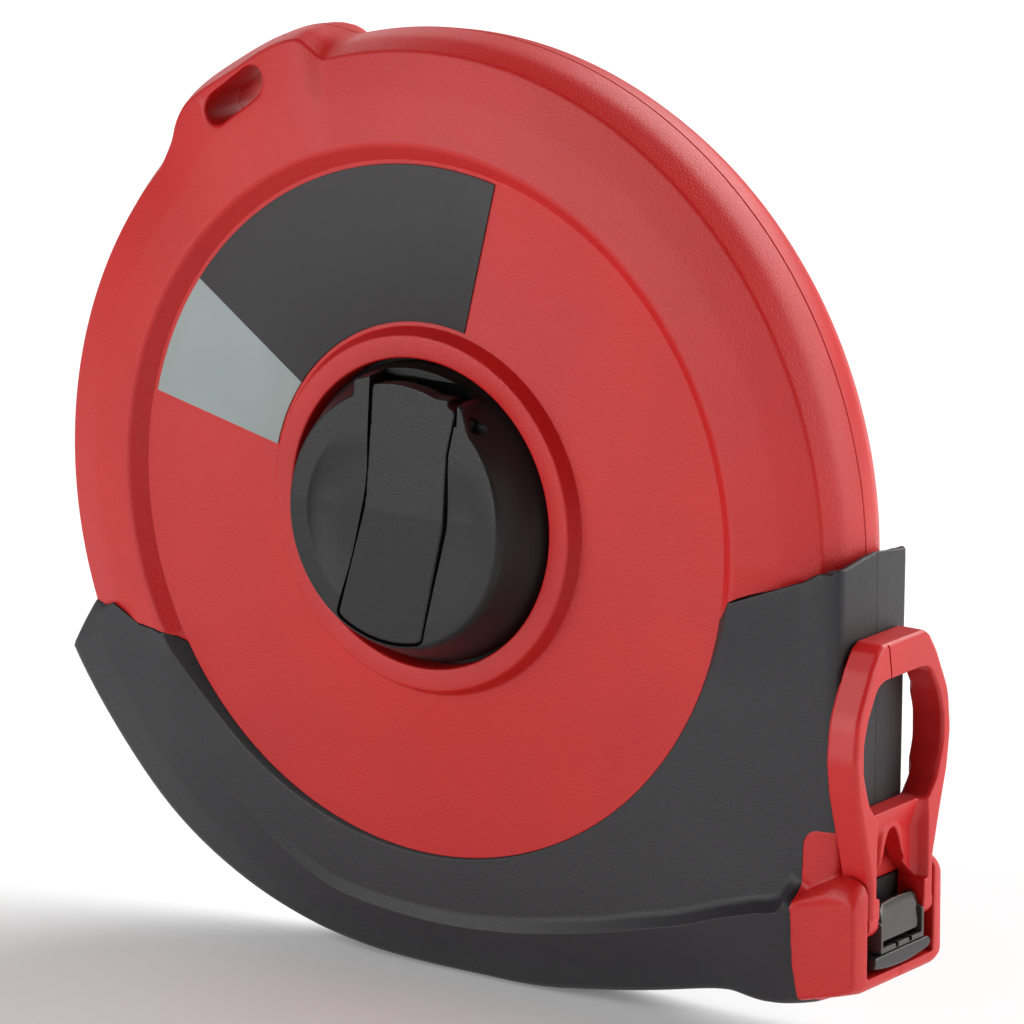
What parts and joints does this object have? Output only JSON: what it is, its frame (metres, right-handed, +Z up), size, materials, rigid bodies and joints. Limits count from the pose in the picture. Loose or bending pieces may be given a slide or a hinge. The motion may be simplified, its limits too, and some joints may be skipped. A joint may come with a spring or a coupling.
{
  "type": "surveyor tape reel",
  "caption": "Closed-case surveyor's tape reel with a fold-out crank in its front, a fibreglass tape on a drum, a lanyard slot and a swinging finger loop on the tape end.",
  "frame": {"origin": "on the drum axis, on the flat recessed disc at the back of the case", "axes": "+Z up, +X towards the tape mouth, -Y out of the front, where the crank is"},
  "size_m": [0.1998, 0.0414, 0.1903],
  "materials": {
    "case_red": "fine spark-eroded grain",
    "bumper_black": "matte, finely grained",
    "crank_plastic": "satin, finely grained",
    "loop_red": "satin, smoother than the case",
    "label_film": "printed film, satin",
    "insert_black": "satin",
    "drum_grey": "plain moulded",
    "tape_fibreglass": "coated fibreglass, satin",
    "steel_plated": "zinc plated",
    "clamp_metal": "dark glossy coating"
  },
  "bodies": {
    "case": {"front_shell": "case_red", "rear_shell": "case_red", "front_bumper": "bumper_black", "rear_bumper": "bumper_black", "label": "label_film", "mouth_insert": "insert_black", "case_screw_1": "steel_plated", "case_screw_2": "steel_plated", "case_screw_3": "steel_plated", "case_screw_4": "steel_plated", "case_screw_5": "steel_plated", "spindle": "steel_plated", "spindle_washer": "steel_plated"},
    "drum": {"drum": "drum_grey", "drum_front_flange": "drum_grey", "tape_coil": "tape_fibreglass", "tape_anchor_pin": "steel_plated", "crank_hub": "crank_plastic", "hub_screw": "steel_plated", "crank_hinge_pin": "steel_plated"},
    "crank_arm": {"crank_arm": "crank_plastic", "finger_knob_pin": "steel_plated"},
    "finger_knob": {"finger_knob": "crank_plastic"},
    "tape_end": {"tape_leader": "tape_fibreglass", "tape_clamp": "clamp_metal", "clamp_frame": "clamp_metal", "hook_pin": "steel_plated"},
    "hook": {"end_hook": "loop_red"}
  },
  "joints": [
    {"name": "drum_spin", "type": "hinge", "parent": "case", "child": "drum", "pos_m": [0, -0.01225, 0], "axis": [0, 1, 0], "continuous": true},
    {"name": "crank_fold", "type": "hinge", "parent": "drum", "child": "crank_arm", "pos_m": [0, -0.0325, 0.0208], "axis": [-1, 0, 0], "range_deg": [0, 180]},
    {"name": "finger_knob_spin", "type": "hinge", "parent": "crank_arm", "child": "finger_knob", "pos_m": [-0.001, -0.024, -0.012], "axis": [0, 1, 0], "continuous": true},
    {"name": "tape_pull", "type": "slide", "parent": "case", "child": "tape_end", "axis": [1, 0, 0], "range_m": [0, 0.06]},
    {"name": "hook_swing", "type": "hinge", "parent": "tape_end", "child": "hook", "pos_m": [0.1004, -0.01225, -0.0674], "axis": [0, 1, 0], "range_deg": [0, 120]}
  ]
}
